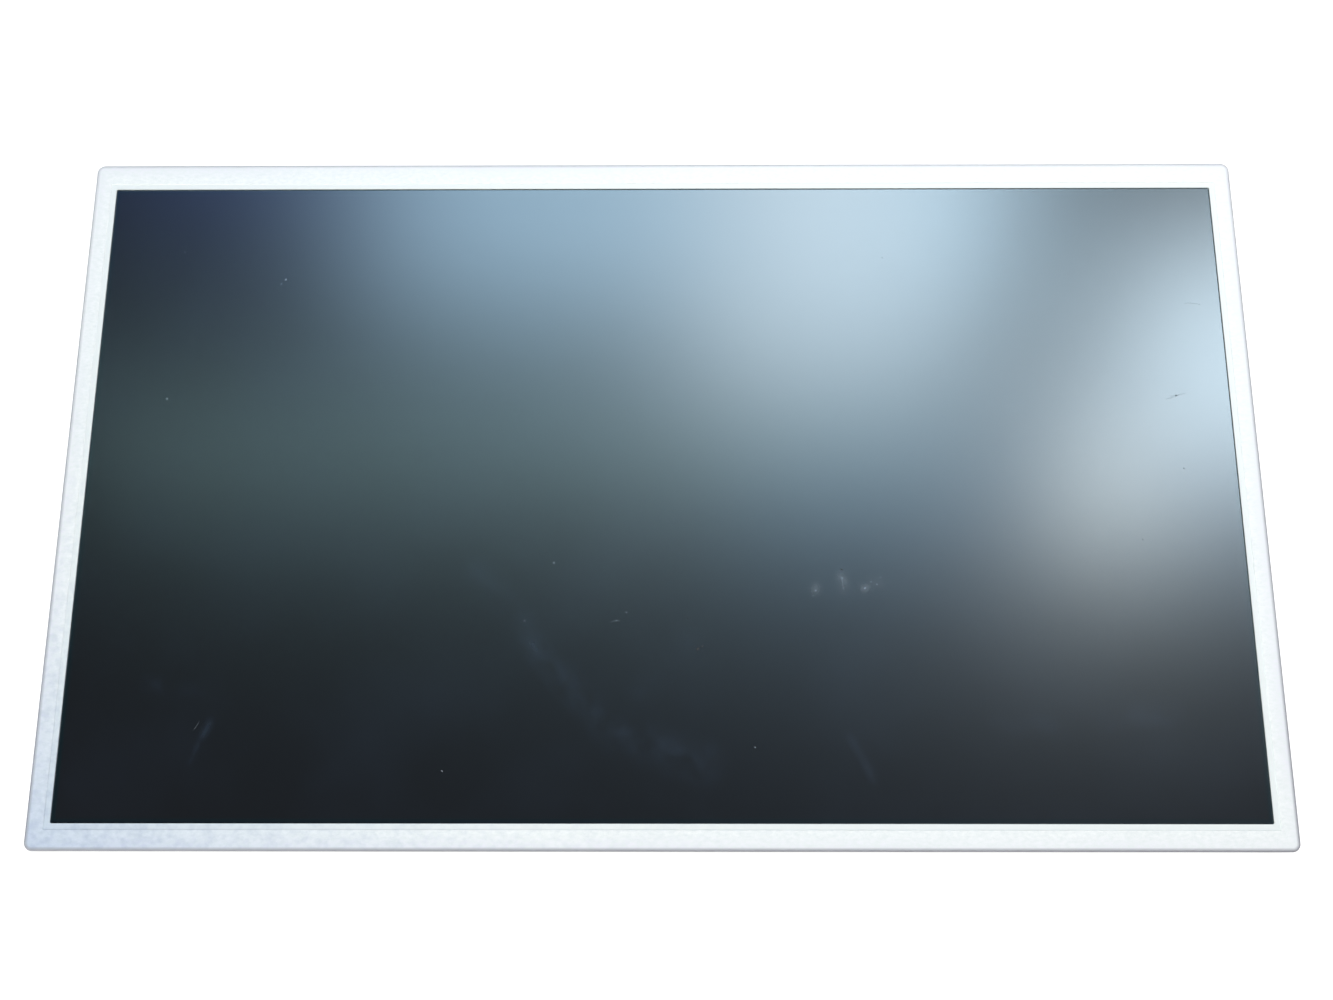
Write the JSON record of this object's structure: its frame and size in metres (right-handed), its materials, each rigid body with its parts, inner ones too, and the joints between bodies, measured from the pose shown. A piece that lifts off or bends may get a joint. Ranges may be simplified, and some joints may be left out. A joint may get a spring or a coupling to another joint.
{
  "type": "lcd panel",
  "caption": "Flat edge-lit LCD panel module with a steel bezel, a matt dark screen, a stamped back cover and a shielded driver board.",
  "frame": {"origin": "middle of the plane that the module lies on, which is the plane of the rear bosses and the board shield", "axes": "+X towards the screen's right, +Y towards the screen's top, +Z the way the screen faces"},
  "size_m": [0.4628, 0.272, 0.0113],
  "materials": {
    "bezel_steel": "zinc-coated sheet, fine satin grain",
    "cover_steel": "zinc-coated sheet, satin",
    "shield_steel": "tin-plated sheet, satin",
    "screw_steel": "zinc-plated",
    "heat_sink_aluminium": "mill finish",
    "screen_film": "anti-glare, fine matt",
    "cell_glass": "clear float glass",
    "rear_film": "matt film",
    "foam_tape": "soft closed-cell foam",
    "frame_plastic": "moulded, fine matt",
    "diffuser_film": "frosted film",
    "prism_film": "clear ribbed film",
    "guide_acrylic": "clear polished acrylic",
    "reflector_film": "white film",
    "pad_rubber": "silicone",
    "led_white": "moulded white package",
    "led_yellow": "phosphor gel",
    "led_board_white": "white solder resist",
    "flex_amber": "polyimide film over copper",
    "board_green": "green solder resist",
    "insulator_black": "matt film",
    "chip_black": "moulded epoxy",
    "coil_grey": "ferrite",
    "ceramic_tan": "ceramic with tinned ends",
    "socket_ivory": "moulded nylon",
    "contact_gold": "gold flash"
  },
  "bodies": {
    "root": {"front_bezel": "bezel_steel", "front_polarizer": "screen_film", "front_glass": "cell_glass", "rear_glass": "cell_glass", "rear_polarizer": "rear_film", "cushion_tape": "foam_tape", "panel_frame": "frame_plastic", "upper_diffuser": "diffuser_film", "prism_sheet": "prism_film", "lower_diffuser": "diffuser_film", "light_guide": "guide_acrylic", "light_guide_pads": "pad_rubber", "reflector_sheet": "reflector_film", "led_board": "led_board_white", "led_bodies": "led_white", "led_phosphor": "led_yellow", "led_heat_sink": "heat_sink_aluminium", "heat_sink_screws": "screw_steel", "led_flex_tail": "flex_amber", "led_connector": "socket_ivory", "led_connector_pins": "contact_gold", "flex_tape": "insulator_black", "back_cover": "cover_steel", "board_insulator": "insulator_black", "driver_board": "board_green", "driver_film_1": "flex_amber", "driver_film_2": "flex_amber", "driver_film_3": "flex_amber", "driver_film_4": "flex_amber", "driver_film_5": "flex_amber", "driver_film_6": "flex_amber", "driver_chips": "chip_black", "timing_chip": "chip_black", "power_chip": "chip_black", "memory_chip": "chip_black", "power_coil": "coil_grey", "board_capacitors": "ceramic_tan", "signal_connector": "socket_ivory", "signal_contacts": "contact_gold", "board_shield": "shield_steel", "shield_screws": "screw_steel", "bezel_screws": "screw_steel"}
  },
  "joints": []
}
